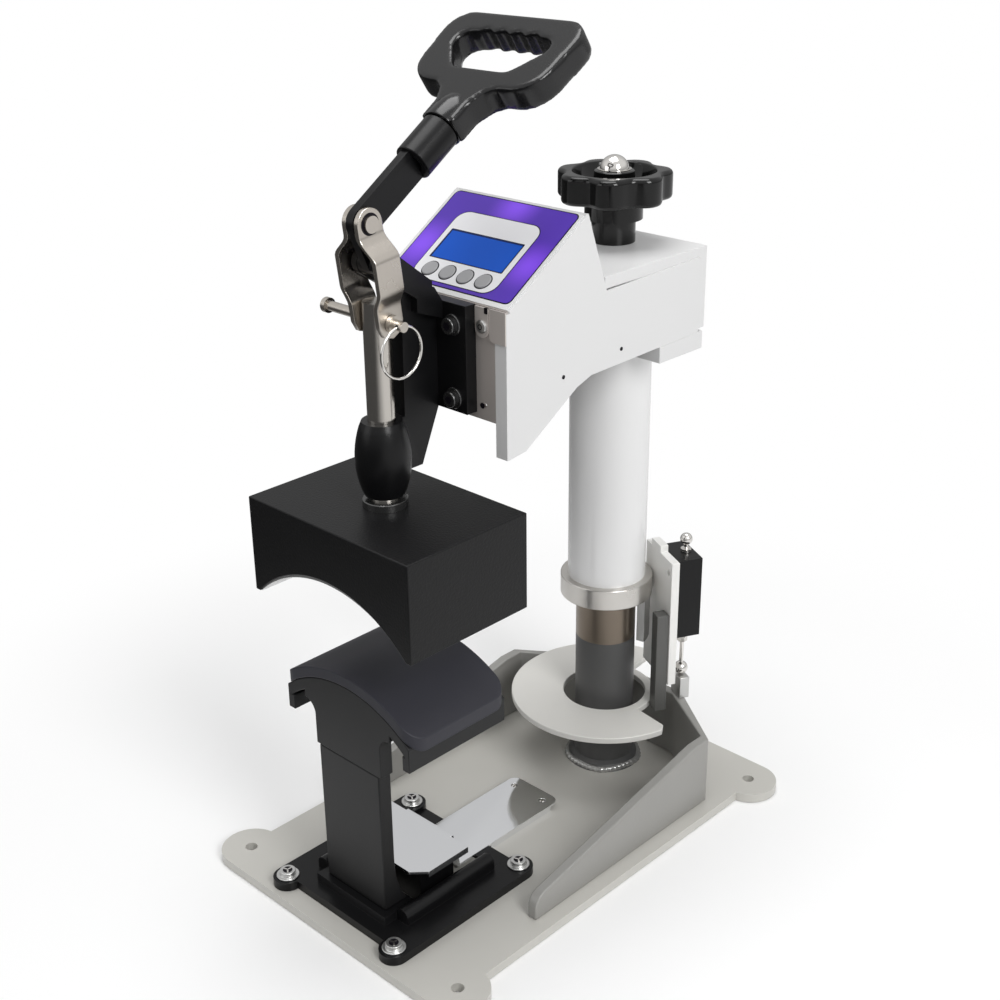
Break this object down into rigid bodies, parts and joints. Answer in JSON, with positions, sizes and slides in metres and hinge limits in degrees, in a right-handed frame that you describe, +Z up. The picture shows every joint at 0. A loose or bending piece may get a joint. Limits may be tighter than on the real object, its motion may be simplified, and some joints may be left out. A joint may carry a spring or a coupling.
{
  "type": "cap heat press",
  "caption": "Swing-away cap heat press: toggle lever drives a curved heated head down onto a domed rubber pad on an upright stand.",
  "frame": {"origin": "centre of the four base mounting holes on the underside of the base plate", "axes": "+Z up, +X to the operator's right, -Y towards the operator, the post is at +Y"},
  "size_m": [0.322, 0.4545, 0.7261],
  "materials": {
    "base_paint": "hammered satin",
    "grey_steel": "satin",
    "bronze_steel": "satin",
    "zinc": "brushed",
    "polished": "polished",
    "black_paint": "satin",
    "white_paint": "satin",
    "taupe": "satin",
    "panel_film": "gloss film",
    "lcd": "lit blue",
    "key_grey": "matte",
    "black_gloss": "gloss",
    "black_plastic": "matte",
    "silicone": "satin",
    "aluminium": "machined",
    "crinkle": "wrinkle"
  },
  "bodies": {
    "base": {"base_plate": "base_paint", "gusset_wall": "base_paint", "post": "grey_steel", "bearing_sleeve": "bronze_steel", "stop_disc": "base_paint", "detent_block": "zinc", "pad_bracket": "black_paint", "bracket_screws": "zinc", "shelf_bracket": "polished", "stand": "black_paint", "cap_saddle": "black_paint", "cap_pad": "silicone"},
    "turret": {"swing_collar": "zinc", "swing_tube": "white_paint", "height_screw": "zinc", "lock_bracket": "zinc", "guide_tongue": "zinc", "stop_bar": "base_paint", "lock_housing": "black_paint"},
    "lock": {"lock_plunger": "polished"},
    "arm": {"side_panel_left": "white_paint", "side_panel_right": "white_paint", "rear_cover": "white_paint", "front_plate": "taupe", "control_panel": "panel_film", "display_window": "lcd", "clamp_block": "white_paint", "mount_plate": "black_paint", "casting": "black_paint", "mount_bolts": "black_paint", "lever_pin": "zinc", "power_inlet": "black_plastic"},
    "rocker": {"power_switch": "black_plastic"},
    "knob": {"adjust_knob": "black_gloss", "knob_nut": "polished"},
    "handle": {"lever": "black_paint", "lever_sleeve": "black_paint", "hand_grip": "black_plastic"},
    "links": {"link_left": "zinc", "link_right": "zinc", "link_pin": "zinc", "release_pin": "zinc"},
    "ring": {"pull_ring": "polished"},
    "head": {"heat_plunger": "polished", "heat_box": "crinkle", "heating_platen": "aluminium"},
    "key_1": {"button_1": "key_grey"},
    "key_2": {"button_2": "key_grey"},
    "key_3": {"button_3": "key_grey"},
    "key_4": {"button_4": "key_grey"}
  },
  "joints": [
    {"name": "swing", "type": "hinge", "parent": "base", "child": "turret", "pos_m": [0, 0.1385, 0.2], "axis": [0, 0, 1], "range_deg": [-8, 72]},
    {"name": "lock_lift", "type": "slide", "parent": "turret", "child": "lock", "axis": [0, 0, 1], "range_m": [0, 0.009]},
    {"name": "arm_height", "type": "slide", "parent": "turret", "child": "arm", "axis": [0, 0, 1], "range_m": [-0.017, 0.008]},
    {"name": "height_knob", "type": "hinge", "parent": "arm", "child": "knob", "pos_m": [0, 0.1385, 0.58], "axis": [0, 0, 1], "range_deg": [-2045, 965]},
    {"name": "press_lever", "type": "hinge", "parent": "arm", "child": "handle", "pos_m": [0, -0.1335, 0.565], "axis": [1, 0, 0], "range_deg": [0, 160.5]},
    {"name": "link_turn", "type": "hinge", "parent": "handle", "child": "links", "pos_m": [0, -0.1445, 0.597], "axis": [1, 0, 0], "range_deg": [-169.62, 1]},
    {"name": "head_slide", "type": "slide", "parent": "arm", "child": "head", "axis": [0, 0, 1], "range_m": [-0.067, 0.0005]},
    {"name": "ring_swing", "type": "hinge", "parent": "links", "child": "ring", "pos_m": [0.026, -0.1345, 0.522], "axis": [0, 1, 0], "range_deg": [-70, 0]},
    {"name": "rocker_tilt", "type": "hinge", "parent": "arm", "child": "rocker", "pos_m": [0, 0.1755, 0.47925], "axis": [1, 0, 0], "range_deg": [-7, 7]},
    {"name": "key_press_1", "type": "slide", "parent": "arm", "child": "key_1", "axis": [0, 0.5481, -0.8364], "range_m": [0, 0.001], "stiffness_N_per_m": 300, "springref_m": -0.001},
    {"name": "key_press_2", "type": "slide", "parent": "arm", "child": "key_2", "axis": [0, 0.5481, -0.8364], "range_m": [0, 0.001], "stiffness_N_per_m": 300, "springref_m": -0.001},
    {"name": "key_press_3", "type": "slide", "parent": "arm", "child": "key_3", "axis": [0, 0.5481, -0.8364], "range_m": [0, 0.001], "stiffness_N_per_m": 300, "springref_m": -0.001},
    {"name": "key_press_4", "type": "slide", "parent": "arm", "child": "key_4", "axis": [0, 0.5481, -0.8364], "range_m": [0, 0.001], "stiffness_N_per_m": 300, "springref_m": -0.001}
  ],
  "couplings": [
    {"joint": "height_knob", "follows": "arm_height", "rad_per_m": 2094.4},
    {"joint": "link_turn", "follows": "press_lever", "ratio": -1.0506},
    {"joint": "head_slide", "follows": "press_lever", "m_per_rad": -0.023738}
  ]
}
